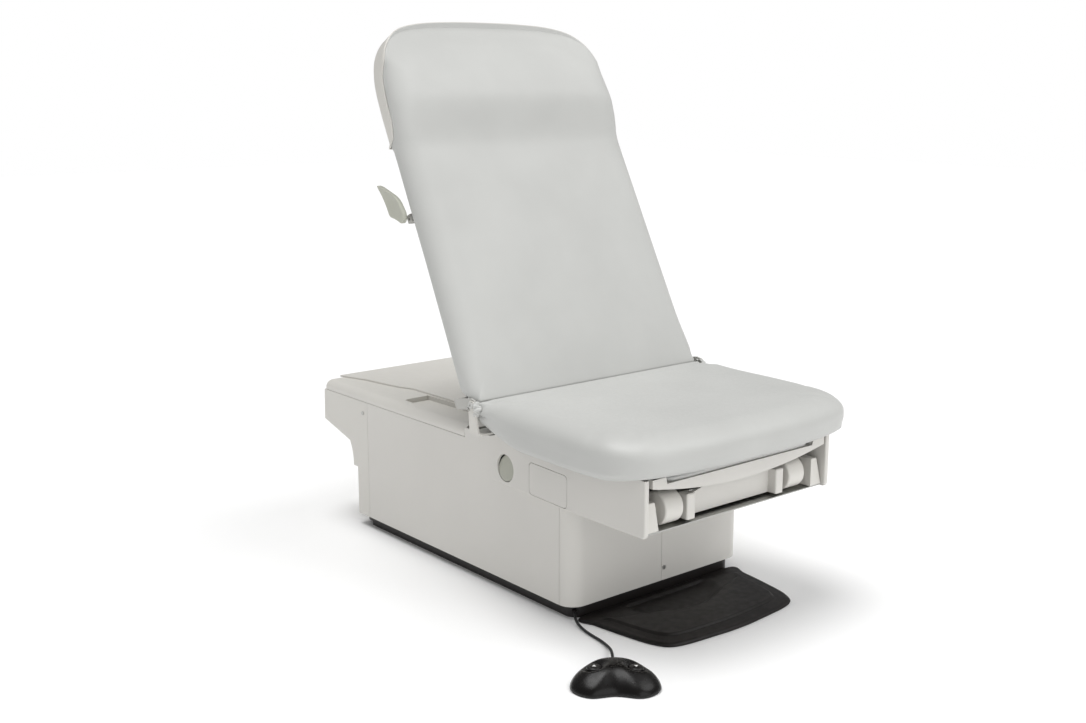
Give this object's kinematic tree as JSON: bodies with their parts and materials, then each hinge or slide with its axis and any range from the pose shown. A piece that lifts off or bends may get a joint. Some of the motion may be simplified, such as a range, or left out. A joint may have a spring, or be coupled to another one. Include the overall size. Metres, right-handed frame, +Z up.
{
  "type": "medical exam table",
  "caption": "Powered low-access medical exam table with reclining back, scissor lift, foot extension, stirrups, treatment pan and corded foot control.",
  "frame": {"origin": "on the floor, on the table's centre plane, midway along its length", "axes": "+Z up, +Y towards the head end, -Y towards the foot end, X across the table"},
  "size_m": [0.8303, 1.3522, 1.2622],
  "materials": {
    "white_cover": "satin",
    "white_moulding": "satin",
    "upholstery": "satin vinyl",
    "plywood": "raw",
    "painted_frame": "satin",
    "steel": "brushed",
    "chrome_rod": "polished",
    "black_casing": "matte",
    "grey_shroud": "satin",
    "black_paint": "satin",
    "black_moulding": "fine texture",
    "black_rubber": "matte",
    "grey_button": "satin",
    "black_button": "satin"
  },
  "bodies": {
    "base": {"base_frame": "painted_frame", "base_skirt": "black_paint", "levelling_feet": "black_rubber", "lower_shroud": "grey_shroud", "lift_actuator": "black_casing", "power_supply": "black_casing", "power_inlet": "black_casing", "step_cover": "black_moulding", "cord_gland": "black_moulding", "foot_control_cord": "black_rubber", "cord_strain_relief": "black_moulding", "foot_control_housing": "black_moulding", "foot_control_base": "black_rubber"},
    "outer_arms": {"outer_scissor_arms": "painted_frame"},
    "inner_arms": {"inner_scissor_arms": "painted_frame"},
    "upper_roller_pair": {"upper_rollers": "steel"},
    "lower_roller_pair": {"lower_rollers": "steel"},
    "actuator_rod": {"actuator_rod": "chrome_rod"},
    "middle_shroud": {"middle_shroud": "grey_shroud"},
    "upper_shroud": {"upper_shroud": "grey_shroud"},
    "table_top": {"upper_frame": "painted_frame", "gas_spring_cylinders": "black_casing", "side_cover_left": "white_cover", "side_cover_right": "white_cover", "outlet_cover": "white_cover", "flap_housing": "black_casing", "front_cover_left": "white_cover", "front_cover_right": "white_cover", "rear_cover": "white_moulding", "deck_cover": "white_moulding", "deck_panel": "white_moulding", "bay_floor_plate": "steel", "seat_board": "plywood", "seat_cushion": "upholstery", "hinge_brackets": "white_moulding", "hinge_pins": "steel", "stirrup_guides": "painted_frame", "extension_guides": "painted_frame", "cover_screws": "steel"},
    "back": {"back_frame": "painted_frame", "back_board": "plywood", "back_cushion": "upholstery", "head_shell": "white_moulding"},
    "gas_spring_rods": {"gas_spring_rods": "chrome_rod"},
    "release_lever_left": {"release_lever_left": "grey_button"},
    "release_lever_right": {"release_lever_right": "grey_button"},
    "foot_extension": {"extension_tray": "steel", "extension_pad": "upholstery", "extension_front": "white_cover"},
    "treatment_pan": {"treatment_pan": "steel", "pan_front": "white_cover"},
    "stirrup_left": {"stirrup_arm_left": "steel", "stirrup_head_left": "white_moulding"},
    "stirrup_right": {"stirrup_arm_right": "steel", "stirrup_head_right": "white_moulding"},
    "heel_cup_left": {"heel_cup_left": "white_moulding"},
    "heel_cup_right": {"heel_cup_right": "white_moulding"},
    "side_flap": {"side_flap": "grey_button"},
    "foot_button_up": {"foot_button_up": "black_button"},
    "foot_button_down": {"foot_button_down": "black_button"}
  },
  "joints": [
    {"name": "lift", "type": "hinge", "parent": "base", "child": "outer_arms", "pos_m": [0, 0.42, 0.055], "axis": [-1, 0, 0], "range_deg": [0, 47.11]},
    {"name": "scissor_centre", "type": "hinge", "parent": "outer_arms", "child": "inner_arms", "pos_m": [0, 0.05768, 0.13], "axis": [-1, 0, 0], "range_deg": [-94.22, 0]},
    {"name": "scissor_top", "type": "hinge", "parent": "inner_arms", "child": "table_top", "pos_m": [0, 0.42, 0.205], "axis": [-1, 0, 0], "range_deg": [0, 47.11]},
    {"name": "actuator_eye", "type": "hinge", "parent": "inner_arms", "child": "actuator_rod", "pos_m": [0, -0.30464, 0.055], "axis": [-1, 0, 0], "range_deg": [0, 47.11]},
    {"name": "middle_shroud_lift", "type": "slide", "parent": "base", "child": "middle_shroud", "axis": [0, 0, 1], "range_m": [0, 0.1611]},
    {"name": "upper_shroud_lift", "type": "slide", "parent": "base", "child": "upper_shroud", "axis": [0, 0, 1], "range_m": [0, 0.3221]},
    {"name": "upper_roller_turn", "type": "hinge", "parent": "outer_arms", "child": "upper_roller_pair", "pos_m": [0, -0.30464, 0.205], "axis": [1, 0, 0], "continuous": true},
    {"name": "lower_roller_turn", "type": "hinge", "parent": "inner_arms", "child": "lower_roller_pair", "pos_m": [0, -0.30464, 0.055], "axis": [1, 0, 0], "continuous": true},
    {"name": "recline", "type": "hinge", "parent": "table_top", "child": "back", "pos_m": [0, -0.13, 0.446], "axis": [1, 0, 0], "range_deg": [-63, 17]},
    {"name": "gas_spring", "type": "slide", "parent": "table_top", "child": "gas_spring_rods", "axis": [0, 0, 1], "range_m": [-0.082, 0.0222]},
    {"name": "release_left", "type": "hinge", "parent": "back", "child": "release_lever_left", "pos_m": [0, 0.12196, 0.82155], "axis": [1, 0, 0], "range_deg": [0, 15], "stiffness_Nm_per_rad": 1.2, "springref_deg": -5.73},
    {"name": "release_right", "type": "hinge", "parent": "back", "child": "release_lever_right", "pos_m": [0, 0.12196, 0.82155], "axis": [1, 0, 0], "range_deg": [0, 15], "stiffness_Nm_per_rad": 1.2, "springref_deg": -5.73},
    {"name": "foot_extension_slide", "type": "slide", "parent": "table_top", "child": "foot_extension", "axis": [0, -1, 0], "range_m": [0, 0.33]},
    {"name": "treatment_pan_slide", "type": "slide", "parent": "table_top", "child": "treatment_pan", "axis": [0, -1, 0], "range_m": [0, 0.15]},
    {"name": "stirrup_slide_left", "type": "slide", "parent": "table_top", "child": "stirrup_left", "axis": [0, -1, 0], "range_m": [0, 0.25]},
    {"name": "stirrup_slide_right", "type": "slide", "parent": "table_top", "child": "stirrup_right", "axis": [0, -1, 0], "range_m": [0, 0.25]},
    {"name": "heel_cup_turn_left", "type": "hinge", "parent": "stirrup_left", "child": "heel_cup_left", "pos_m": [0, -0.545, 0.2925], "axis": [1, 0, 0], "range_deg": [0, 100]},
    {"name": "heel_cup_turn_right", "type": "hinge", "parent": "stirrup_right", "child": "heel_cup_right", "pos_m": [0, -0.545, 0.2925], "axis": [1, 0, 0], "range_deg": [0, 100]},
    {"name": "side_flap_push", "type": "hinge", "parent": "table_top", "child": "side_flap", "pos_m": [-0.2635, -0.138, 0.266], "axis": [0, 1, 0], "range_deg": [0, 10], "stiffness_Nm_per_rad": 0.3, "springref_deg": -11.46},
    {"name": "foot_button_up_press", "type": "slide", "parent": "base", "child": "foot_button_up", "axis": [0, 0, -1], "range_m": [0, 0.003], "stiffness_N_per_m": 800, "springref_m": -0.002},
    {"name": "foot_button_down_press", "type": "slide", "parent": "base", "child": "foot_button_down", "axis": [0, 0, -1], "range_m": [0, 0.003], "stiffness_N_per_m": 800, "springref_m": -0.002}
  ],
  "couplings": [
    {"joint": "scissor_centre", "follows": "lift", "ratio": -2},
    {"joint": "scissor_top", "follows": "lift", "ratio": 1},
    {"joint": "actuator_eye", "follows": "lift", "ratio": 1},
    {"joint": "middle_shroud_lift", "follows": "lift", "m_per_rad": 0.19581},
    {"joint": "upper_shroud_lift", "follows": "lift", "m_per_rad": 0.39163},
    {"joint": "gas_spring", "follows": "recline", "m_per_rad": 0.074485}
  ]
}
